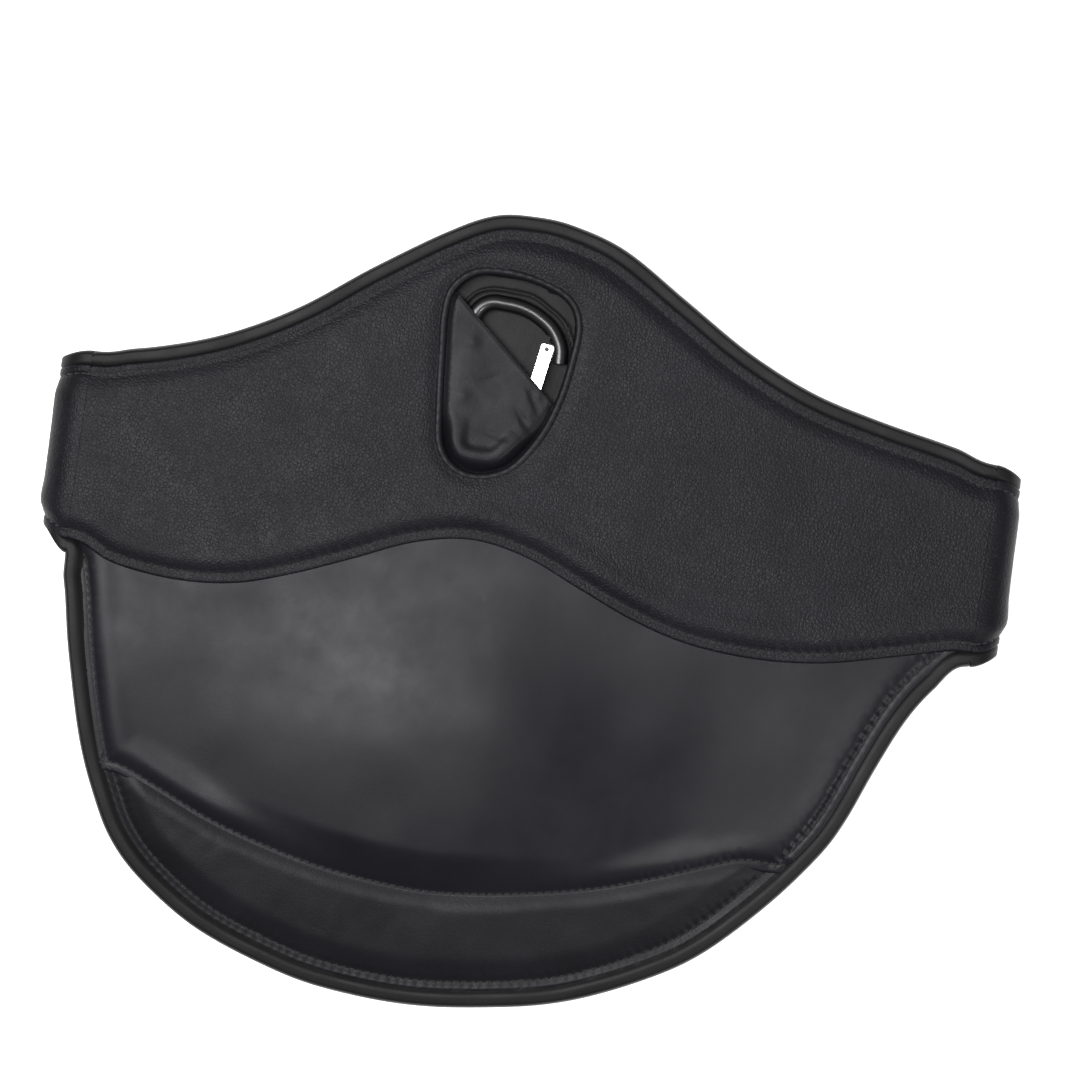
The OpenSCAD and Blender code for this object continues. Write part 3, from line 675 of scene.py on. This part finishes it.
def pad_body():
    """Foam and liner: the whole pad under its outer leathers, with the soft rim that shows round them."""
    outer = np.vstack([RIM_TOP, RIM_LOW[::-1]])
    region = fill(outer, edge_step=1.7, rings=(0.3, 0.8, 1.4, 2.1, 3.2, 4.8, 6.4, 8.4), grid=5.0)
    p = region[0]
    d = np.minimum(distance_to(p, RIM_TOP), distance_to(p, RIM_LOW))
    inner = fold_fade(p[:, 0], 30.0)
    high = 22.3 - sag(p[:, 1]) - 1.6 * smooth(7, 10, d) * inner
    high += (FOLD_RIM - 1.2 * inner) * (1 - smooth(5.5, 8.5, d))
    low = under_height(p)
    pocket = inside(p, grow(WINDOW, 3.0))
    high = np.where(pocket, 15.0, high)
    middle = (high + low) / 2
    top = middle + (high - middle) * round_edge(d, RIM_CURVE[0])
    bottom = middle - (middle - low) * round_edge(d, RIM_CURVE[1])
    soft = 0.3 * value_noise(p[:, 0], p[:, 1], 16, 31) * fold_fade(p[:, 0], 20)
    obj = slab("pad_body", region, top + soft * (d < 9), bottom + soft, LINER)
    sharpen(obj, at_fold)
    # Only the underside swells, clear of the rim and the folds: the leathers lie close on the top
    underside = smooth(3, 14, d) * fold_fade(p[:, 0], 40.0)
    puff(obj, pressure=4.0, cap_mm=2.0, weight=np.concatenate([0 * d, underside]))
    apply_modifier(obj, "SUBSURF", levels=1, render_levels=1)
    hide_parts("liner", "liner_padding", "core_panel", "edge_rim")
    return obj


# ---- hook window ----
def welt():
    """The stitched strip round the window: a rounded lip that turns down inside."""
    profile = [(4.8, 23.6), (4.7, 24.9), (4.4, 25.3), (4.0, 25.1), (3.6, 25.2), (3.2, 25.8), (2.5, 26.1),
               (1.4, 26.1), (0.7, 25.9), (0.2, 25.4), (0.0, 24.6), (-0.1, 22.5), (0.0, 20.0), (0.2, 16.4),
               (1.2, 15.4), (3.5, 15.4)]
    loop = resample(WINDOW, 1.1, closed=True)
    points = []
    s = np.arange(len(loop)) * 1.1
    for out, z in profile:
        ring = grow(loop, out)
        ripple = 0.12 * np.sin(2 * math.pi * s / 4.4) * math.exp(-((out - 2.4) / 1.4) ** 2) * (z > 24)
        points.append(np.column_stack([ring, z + ripple + 0.25 * value_noise(s, 0 * s, 18, 41)]))
    faces = grid_faces(len(profile), len(loop), closed_rows=True, closed_columns=True)
    obj = make_object("window_lip", np.vstack(points), faces, SOFT)
    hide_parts("window_welt")
    return obj


def window_floor():
    region = fill(grow(WINDOW, 2.5), edge_step=1.0, grid=0.8)
    p = region[0]
    bow = resample(rounded(HOOK_POINTS, 12.0), 1.0)
    top = FLOOR_Z + 0.2 * value_noise(p[:, 0], p[:, 1], 14, 45)
    ridge = np.exp(-((distance_to(p, bow) - 6.0) / 0.6) ** 2)
    top += 0.8 * ridge * ~inside(p, bow) * smooth(100, 112, p[:, 1])
    obj = slab("window_back", region, top, np.full(len(p), 14.0), LINER)
    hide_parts("window_floor")
    return obj


def pocket():
    """Thin leather moulded over the lower hook, with a straight turned mouth."""
    loop = grow(WINDOW, 1.2)
    slope = np.array([math.cos(MOUTH_ANGLE), math.sin(MOUTH_ANGLE)])
    past = lambda q: (q - MOUTH) @ np.array([-slope[1], slope[0]])
    dense = resample(loop, 0.5, closed=True)
    outer = dense[past(dense) < 0]
    gap = int(np.linalg.norm(np.diff(np.vstack([outer, outer[:1]]), axis=0), axis=1).argmax())
    outer = np.roll(outer, -gap - 1, axis=0)
    region = fill(outer, edge_step=0.9, rings=(0.3, 0.7, 1.2, 1.9, 2.8), grid=1.5)
    p = region[0]
    wire = resample(rounded(HOOK_POINTS, 8.0), 1.0)
    gate = resample(np.array(GATE_POINTS, float), 1.0)
    d_wire = np.minimum(distance_to(p, wire), distance_to(p, gate) + 0.3)
    d_wall = distance_to(p, WINDOW, closed=True)
    ring = np.vstack([wire, gate[::-1]])
    middle = inside(p, ring)
    low_bow = smooth(80, 64, p[:, 1])
    base = 24.9 - 2.6 * low_bow * (1 - smooth(0.8, 6.0, d_wall)) - 1.3 * (1 - smooth(0.3, 2.2, d_wall))
    top = base + (25.15 + 1.0 * low_bow - base) * np.exp(-(d_wire / (4.6 - low_bow)) ** 4)
    top = np.where(middle, np.maximum(top, 24.9 + 0.3 * np.exp(-(d_wire / 8.0) ** 2)), top)
    for x, y in ((-12, 110), (-13, 86), (-12, 58)):
        top += 0.4 * np.exp(-((p[:, 0] - x) ** 2 + (p[:, 1] - y) ** 2) / 9)
    mouth = -past(p)
    top += 0.45 * np.exp(-(mouth / 1.2) ** 2)
    for (x, y), angle, depth in (((18, 89), -62, 0.6), ((15, 79), -52, 0.55), ((-2, 95), 24, 0.25),
                                 ((3, 71), -12, 0.35)):
        a = math.radians(angle)
        q = p - np.array([x, y])
        run, across = q @ [math.cos(a), math.sin(a)], q @ [-math.sin(a), math.cos(a)]
        top -= depth * np.exp(-(across / 1.1) ** 2 - (run / 6.0) ** 2)
    top += 0.18 * value_noise(p[:, 0], p[:, 1], 11, 51) + 0.06 * value_noise(p[:, 0], p[:, 1], 4, 52)
    bottom = top - 1.2
    obj = slab("pocket_skin", region, top, bottom, SOFT)
    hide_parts("hook_pocket")
    return obj


def rounded(points, radius):
    """A polyline with its corners cut to arcs of about radius."""
    p = np.array(points, float)
    out = [p[0]]
    for a, b, c in zip(p[:-2], p[1:-1], p[2:]):
        u, v = (a - b) / np.linalg.norm(a - b), (c - b) / np.linalg.norm(c - b)
        turn = math.acos(np.clip(u @ v, -1, 1))
        trim = min(radius / math.tan(turn / 2), 0.45 * np.linalg.norm(a - b), 0.45 * np.linalg.norm(c - b))
        for t in np.linspace(0, 1, 7):
            out.append((1 - t) ** 2 * (b + trim * u) + 2 * t * (1 - t) * b + t * t * (b + trim * v))
    out.append(p[-1])
    return np.array(out)


# ---- stitches ----
def stitch_mesh(name, centres, runs, ups, body="pad", length=2.9, radius=0.5, sink=0.15):
    """Threads as short capsules: centres, directions and surface normals are N by 3."""
    runs = runs / np.linalg.norm(runs, axis=1, keepdims=True)
    sides = np.cross(ups, runs)
    sides /= np.linalg.norm(sides, axis=1, keepdims=True)
    ups = np.cross(runs, sides)
    runs = runs + 0.10 * sides
    sections = [(-0.5, 0.25, -0.9), (-0.42, 0.8, -0.25), (-0.2, 1.0, 0.1),
                (0.2, 1.0, 0.1), (0.42, 0.8, -0.25), (0.5, 0.25, -0.9)]
    spokes = 6
    points, faces = [], []
    for n, (c, r, s, u) in enumerate(zip(centres, runs, sides, ups)):
        base = n * len(sections) * spokes
        for at, wide, lift in sections:
            for k in range(spokes):
                a = 2 * math.pi * k / spokes
                points.append(c + r * at * length + (s * math.cos(a) + u * math.sin(a)) * radius * wide
                              + u * (lift * radius - sink))
        for i in range(len(sections) - 1):
            for k in range(spokes):
                m = (k + 1) % spokes
                faces.append([base + i * spokes + k, base + i * spokes + m, base + (i + 1) * spokes + m,
                              base + (i + 1) * spokes + k])
        faces.append([base + k for k in range(spokes)][::-1])
        faces.append([base + (len(sections) - 1) * spokes + k for k in range(spokes)])
    return make_object(name, np.array(points), faces, THREAD, body)


def stitch_on(name, line, targets, pitch=3.6, from_below=False, **kind):
    """A row of stitches along a flat line, dropped on the surfaces of the targets."""
    from mathutils.bvhtree import BVHTree
    trees = []
    for target in targets:
        mesh = target.data
        trees.append(BVHTree.FromPolygons([v.co[:] for v in mesh.vertices],
                                          [f.vertices[:] for f in mesh.polygons]))
    line = resample(line, pitch)
    run = tangents(line)
    centres, runs, ups = [], [], []
    way = 1 if from_below else -1
    for point, t in zip(line, run):
        best = None
        start = (np.array([point[0], point[1], 60.0 * -way]) - ORIGIN) * MM
        for tree in trees:
            hit, normal, _, _ = tree.ray_cast(Vector(start), Vector((0, 0, way)))
            if hit and (best is None or (hit.z - best[0].z) * -way > 0):
                best = (hit, normal)
        if best:
            hit, normal = best
            up = np.array(normal) if normal.z * -way > 0 else -np.array(normal)
            flat = np.array([t[0], t[1], 0.0])
            centres.append(np.array(hit) / MM + ORIGIN)
            runs.append(flat - up * (flat @ up))
            ups.append(up)
    return stitch_mesh(name, np.array(centres), np.array(runs), np.array(ups), **kind)


# ---- folds and strap ends ----
ARC = math.pi * FOLD_R
OUT = {"left": -1.0, "right": 1.0}
FOLD_X = {"left": LEFT_FOLD_X, "right": RIGHT_FOLD_X}
TAIL = {side: HALF_LENGTH - abs(FOLD_X[side]) - ARC - ELASTIC_SHOW - BUCKLE_L - ROLLER_R for side in OUT}


def on_strap(side, s, y, depth):
    """Place of a point s along the strap from the fold's start, at y, depth below the outer surface."""
    s, y, depth = np.broadcast_arrays(np.asarray(s, float), y, depth)
    angle = np.clip(s, 0, ARC) / FOLD_R
    past = np.clip(s - ARC, 0, None)
    before = np.clip(s, None, 0)
    flare = 2.2 * np.clip((y - STRAP_Y[side]) / STRAP_W + 0.5, 0, 1) if side == "left" else 0.0
    x = FOLD_X[side] + OUT[side] * ((FOLD_R - depth + flare) * np.sin(angle) - past + before)
    z = FOLD_R + (FOLD_R - depth) * np.cos(angle)
    return np.stack([x, y, z], axis=-1)


def strap_edges(side, s, width, end_width, extra=0.0):
    """Lower and upper edge of the strap: pinched a little in the fold, tapering to rounded corners."""
    end = ARC + TAIL[side] + extra
    half = width / 2 + (end_width - width) / 2 * np.clip((s - ARC) / TAIL[side], 0, 1)
    corner = 10.0
    near = np.clip(s - (end - corner), 0, corner)
    half = half - (corner - np.sqrt(corner ** 2 - np.minimum(near, corner - 0.05) ** 2))
    pinch = 4.0 * smooth(0, 20, s) * (1 - smooth(26, 46, s))
    tuck = 4.5 * smooth(0, 14, s) * (1 - smooth(26, 46, s)) if side == "left" and width > STRAP_W else 0.0
    return STRAP_Y[side] - half + 1.3 * pinch + tuck, STRAP_Y[side] + half - 0.8 * pinch


EDGE_STEPS = [0, 0.15, 0.4, 0.8, 1.3, 1.9, 2.6, 3.3, 3.8, 4.2, 4.7, 5.4, 6.4, 7.8, 9.5, 12, 15, 19]


def across(low, high, steps, middle):
    """Column positions between two edges, close together near both."""
    inner = np.linspace(low + steps[-1], high - steps[-1], middle)[1:-1]
    return np.concatenate([low + np.array(steps), inner, (high - np.array(steps))[::-1]])


def strip(name, side, s_values, width, end_width, extra, surfaces, material,
          steps=EDGE_STEPS, middle=12):
    """A closed band of leather along the strap.

    surfaces gives the outer and inner depth from s and both distances.
    """
    rings = []
    for s in s_values:
        low, high = strap_edges(side, s, width, end_width, extra)
        y = across(low, high, steps, middle)
        outer, inner = surfaces(side, s, y, y - low, high - y)
        rings.append(np.vstack([on_strap(side, s, y, outer), on_strap(side, s, y, inner)[::-1]]))
    faces = grid_faces(len(rings), len(rings[0]), closed_columns=True)
    if OUT[side] < 0:
        faces = [f[::-1] for f in faces]
    if s_values[-1] > ARC + 1:
        n = len(rings[0])
        half = n // 2
        base = (len(rings) - 1) * n
        caps = [[base + i, base + i + 1, base + n - 2 - i, base + n - 1 - i] for i in range(half - 1)]
        faces += [f if OUT[side] > 0 else f[::-1] for f in caps]
    return make_object(name, np.vstack(rings), faces, material, body=None)


def facing_depth(side, s, y, d_low, d_high):
    end = ARC + TAIL[side] - s
    height = band_height(d_high, d_low) - 1.7 * (1 - smooth(3.4, 11, end))
    height = height - 0.5 * math.exp(-((end - 4.2) / 0.8) ** 2)
    fade = smooth(2, 14, s) * smooth(3, 12, np.minimum(d_low, d_high))
    along_s = s + 0 * y
    height = height + fade * (0.35 * value_noise(along_s, y, 19, 61) + 0.15 * value_noise(along_s, y, 8, 62))
    depth = TOP_Z - height
    flat = smooth(20, 40, s)
    depth = depth * (1 - flat) + np.maximum(depth, 0.12) * flat
    tip = 1 - round_edge(end, 1.6)
    return depth + tip * (TOP_Z - BAND_UNDER - depth) * 0.75, np.full(len(y), TOP_Z - BAND_UNDER + 0.6)


def liner_depth(side, s, y, d_low, d_high):
    end = ARC + TAIL[side] + 2.5 - s
    edge = np.minimum(np.minimum(d_low, d_high), end)
    outer = 3.7 - FOLD_RIM * (1 - smooth(5.5, 8.5, edge))
    middle = (9.5 + outer) / 2
    outer = middle - (middle - outer) * round_edge(edge, RIM_CURVE[0])
    inner = middle + (9.5 - middle) * round_edge(edge, RIM_CURVE[1])
    soft = smooth(2, 14, s) * 0.3 * value_noise(s + 0 * y, y, 14, 63)
    dip = 0.5 * np.exp(-((edge - 8.0) / 1.1) ** 2)
    return outer + soft * (edge < 9), inner + soft * 0.8 - dip


def strap(side):
    third = ARC / 3
    fine = np.array([0, 0.12, 0.4])
    spans = [np.concatenate([third * i + fine, np.linspace(third * i, third * (i + 1), 13)[1:-1],
                             third * (i + 1) - fine[::-1]]) for i in range(3)]
    end = ARC + TAIL[side]
    # Rings get finer towards the turned tip
    tip = np.array([11, 9.5, 8, 7, 6, 5, 4.5, 4, 3.5, 3, 2.4, 1.8, 1.2, 0.7, 0.3, 0.05])
    tail = np.concatenate([np.arange(ARC, end - 12, 2.0)[1:], end - tip])
    wider = np.concatenate([tail, end + np.array([0.6, 1.2, 1.7, 2.1, 2.4])])
    kinds = (("facing", STRAP_W, STRAP_END_W - 2, 0.0, facing_depth, GRAINED, tail,
              ("facing",), "grained_leather"),
             ("padding", STRAP_LINER_W, STRAP_END_W + 3, 2.5, liner_depth, LINER, wider,
              ("core", "liner"), "liner_leather"))
    stitch_gap = 3.7
    for kind, width, end_width, extra, surfaces, material, last, layers, finish in kinds:
        for i, part in enumerate(("inner", "outer", "strap")):
            values = spans[i] if i < 2 else np.concatenate([spans[2][:-2], last])
            piece = strip(f"{side}_{kind}_{part}", side, values, width, end_width, extra, surfaces, material)
            join(piece, side, i)
            node = f"{side}_strap" if part == "strap" else f"{side}_fold_{part}"
            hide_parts(*[f"{node}_{layer}" for layer in layers])
    for i, part in enumerate(("inner", "outer", "strap")):
        first, last = (third * i, third * (i + 1)) if i < 2 else (2 * third, end - 6)
        s = np.arange(first + stitch_gap / 2, last, stitch_gap)
        rows = []
        for edge in (0, 1):
            for value in s:
                low, high = strap_edges(side, value, STRAP_W, STRAP_END_W - 2)
                rows.append((value, (low + 4.2) if edge == 0 else (high - 4.2), 0))
        if part == "strap":
            low, high = strap_edges(side, end - 5, STRAP_W, STRAP_END_W - 2)
            rows += [(end - 4.5, y, 1) for y in np.arange(low + 6, high - 6, stitch_gap)]
            for u in (-1, 1):
                middle = STRAP_Y[side] + u * BUCKLE_PITCH / 2
                rows += [(end - 19, y, 1) for y in np.arange(middle - 11, middle + 11.1, stitch_gap)]
        centres, runs, ups = [], [], []
        for value, y, turned in rows:
            low, high = strap_edges(side, value, STRAP_W, STRAP_END_W - 2)
            depth = facing_depth(side, value, np.array([y]), np.array([y - low]), np.array([high - y]))[0][0]
            here = on_strap(side, value, y, depth)
            centres.append(here)
            ups.append(on_strap(side, value, y, depth - 1) - here)
            runs.append([0, 1, 0] if turned else on_strap(side, value + 0.1, y, depth) - here)
        threads = stitch_mesh(f"{side}_{part}_stitches", np.array(centres), np.array(runs, float),
                              np.array(ups), body=None)
        join(threads, side, i)


def join(piece, side, i):
    """Bakes a piece's placement into its mesh; the piece already lies on the i-th third of the fold."""
    at = lambda k: tuple((on_strap(side, ARC / 3 * k, STRAP_Y[side], 0.0) - ORIGIN) * MM)
    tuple(at(i))
    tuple(at(i + 1))
    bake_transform(piece)


def ribbon(name, path, thick, y_low, y_high, place, material, body):
    """A woven ribbon: a path in x and z, swept over y, a little thinner along its two edges."""
    path = np.array(path, float)
    t = tangents(path)
    side = np.stack([-t[:, 1], t[:, 0]], axis=1)
    rows = across(y_low, y_high, [0, 0.15, 0.4, 0.8, 1.4], 6)
    rings = []
    for y in rows:
        half = thick / 2 * (0.25 + 0.75 * round_edge(np.array([min(y - y_low, y_high - y)]), 0.6)[0])
        loop = np.vstack([path + side * half, (path - side * half)[::-1]])
        rings.append(place(loop[:, 0], np.full(len(loop), y), loop[:, 1]))
    n = len(rings[0])
    faces = grid_faces(len(rings), n, closed_columns=True)
    half_n = n // 2
    for base, flip in ((0, True), ((len(rings) - 1) * n, False)):
        caps = [[base + i, base + i + 1, base + n - 2 - i, base + n - 1 - i] for i in range(half_n - 1)]
        faces += [f[::-1] for f in caps] if flip else caps
    return make_object(name, np.vstack(rings), faces, material, body)


def elastics():
    """Each elastic runs from inside the strap, round its buckle's rear bar and back.

    A slot in it lets the tongue through.
    """
    wrap, gap, hold = 2.85, 0.8, 20.0
    for side in OUT:
        bar_x = FOLD_X[side] - OUT[side] * (TAIL[side] + ELASTIC_SHOW)
        length = ELASTIC_SHOW + hold - 1
        turn = [(wrap * math.cos(a), wrap * math.sin(a)) for a in np.radians(np.linspace(68, 292, 22))]
        lead = [(length, gap), (length * 0.75, gap), (length * 0.5, gap), (14, gap),
                (10, gap + 0.1), (7, 1.1), (4.5, 1.7), (2.8, 2.25)]
        loop_path = lead + turn + [(x, -z) for x, z in lead[::-1]]
        flat_path = [(length, gap), (length / 2, gap), (7.5, gap + 0.1), (6.2, 0.7), (5.8, 0.0), (6.2, -0.7),
                     (7.5, -gap - 0.1), (length / 2, -gap), (length, -gap)]
        for upper, way in (("upper", 1), ("lower", -1)):
            y = STRAP_Y[side] + way * BUCKLE_PITCH / 2

            def place(u, dy, z, y=y, bar_x=bar_x, side=side):
                return np.column_stack([bar_x + OUT[side] * u, y + dy, BUCKLE_Z + z])

            parts = []
            for label, path, low, high in (("a", loop_path, -12, -3.2), ("b", loop_path, 3.2, 12),
                                           ("c", flat_path, -3.2, 3.2)):
                part = ribbon(f"{side}_{upper}_elastic_{label}", path, 1.4, low, high, place, ELASTIC,
                              f"{side}_strap")
                parts.append(part)
            for part in parts:
                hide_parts(f"{side}_{upper}_elastic")
            centres, ups, runs = [], [], []
            for u in (8.5, 11.5):
                for dy in np.arange(-10.5, 10.6, 3.0):
                    for face in (1, -1):
                        centres.append([bar_x + OUT[side] * u, y + dy, BUCKLE_Z + face * (gap + 0.75)])
                        ups.append([0, 0, face])
                        runs.append([0, 1, 0])
            stitch_mesh(f"{side}_{upper}_elastic_stitches", np.array(centres), np.array(runs, float),
                        np.array(ups, float), body=f"{side}_strap", length=2.2, radius=0.3)


# ---- the CAD pieces that stay ----
def dress(names, material):
    for name in names:
        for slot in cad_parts[name].material_slots:
            slot.link = "OBJECT"
            slot.material = material


# ---- setting ----
def area_light(name, place, target, size, power, colour=(1, 1, 1)):
    data = bpy.data.lights.new(name, "AREA")
    data.shape = "RECTANGLE"
    data.size, data.size_y = size
    data.energy = power
    data.color = colour
    light = bpy.data.objects.new(name, data)
    light.location = place
    light.rotation_euler = (Vector(target) - Vector(place)).to_track_quat("-Z", "Y").to_euler()
    bpy.context.scene.collection.objects.link(light)


def setting():
    mesh = bpy.data.meshes.new("floor")
    mesh.from_pydata([(-4, -4, 0), (4, -4, 0), (4, 4, 0), (-4, 4, 0)], [], [[0, 1, 2, 3]])
    floor = bpy.data.objects.new("floor", mesh)
    floor.location.z = -0.0004
    bpy.context.scene.collection.objects.link(floor)
    n = Nodes("paper")
    mesh.materials.append(n.finish(Base_Color=(0.93, 0.93, 0.93, 1), Roughness=0.9, Specular_IOR_Level=0.1,
                                   Emission_Color=(1, 1, 1, 1), Emission_Strength=0.75))
    floor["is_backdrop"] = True
    world = bpy.data.worlds.new("studio")
    world.use_nodes = True
    world.node_tree.nodes["Background"].inputs["Color"].default_value = (1, 1, 1, 1)
    world.node_tree.nodes["Background"].inputs["Strength"].default_value = 0.25
    bpy.context.scene.world = world
    bpy.context.scene.view_settings.view_transform = "Standard"
    area_light("key_softbox", (-0.75, 0.25, 2.6), (0, 0.0, 0), (0.7, 1.6), 88)
    area_light("low_softbox", (1.4, -0.9, 2.1), (0, 0.0, 0), (0.5, 0.5), 22)


CAMERA_TURN = 8.0
CAMERA_HEIGHT = 2.4
VIEW_WIDTH = 0.4752
VIEW_CENTRE = (29.6, 27.9)


def camera():
    data = bpy.data.cameras.new("camera")
    data.sensor_width = 36
    data.lens = 36 * (CAMERA_HEIGHT - TOP_Z * MM) / VIEW_WIDTH
    data.clip_end = 20
    obj = bpy.data.objects.new("camera", data)
    centre = (np.array([*VIEW_CENTRE, 0]) - ORIGIN) * MM
    obj.location = (centre[0], centre[1], CAMERA_HEIGHT)
    obj.rotation_euler = (0, 0, math.radians(CAMERA_TURN))
    bpy.context.scene.collection.objects.link(obj)
    bpy.context.scene.camera = obj


# ---- build ----
camera()
setting()
body_piece = pad_body()
band_piece = band()
plate_piece = plate()
toe_piece = toe()
welt_piece = welt()
window_floor()
pocket()
for fold_side in OUT:
    strap(fold_side)
elastics()

stitch_on("band_top_stitches", shifted(BAND_TOP, -4.2), [band_piece])
stitch_on("band_low_stitches", shifted(BAND_LOW, 4.1), [band_piece])
top_line, right_line, low_line, left_line = plate_outline()
stitch_on("plate_right_stitches", shifted(right_line, -4.3)[4:], [plate_piece, band_piece])
stitch_on("plate_left_stitches", shifted(left_line, -4.3)[:-4], [plate_piece, band_piece])
stitch_on("plate_low_stitches", shifted(low_line, -4.3), [plate_piece])
toe_side = resample(lower_edge(RIM_W + 1.0), 0.8)
toe_side = toe_side[toe_side[:, 1] < np.interp(toe_side[:, 0], TOE[:, 0], TOE[:, 1]) - 1]
stitch_on("toe_stitches", shifted(toe_side, 4.2), [toe_piece])
stitch_on("window_stitches", grow(WINDOW, 3.8), [welt_piece], pitch=3.3)
stitch_on("liner_stitches", shifted(RIM_TOP, -9.0), [body_piece], from_below=True)
stitch_on("liner_low_stitches", shifted(RIM_LOW, 9.0), [body_piece], from_below=True)

dress(["hook_body"], ENAMEL)
dress(["hook_gate", "gate_spring"], SATIN)
dress(["gate_pivot_pin", "gate_latch_pin"], GUNMETAL)
dress(["hook_loop"], SOFT)
for fold_side in OUT:
    for level in ("upper", "lower"):
        dress([f"{fold_side}_{level}_{part}" for part in ("buckle_frame", "roller", "tongue")], BRIGHT)

[[list(corner) for corner in box] for box in (cad_box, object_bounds())]
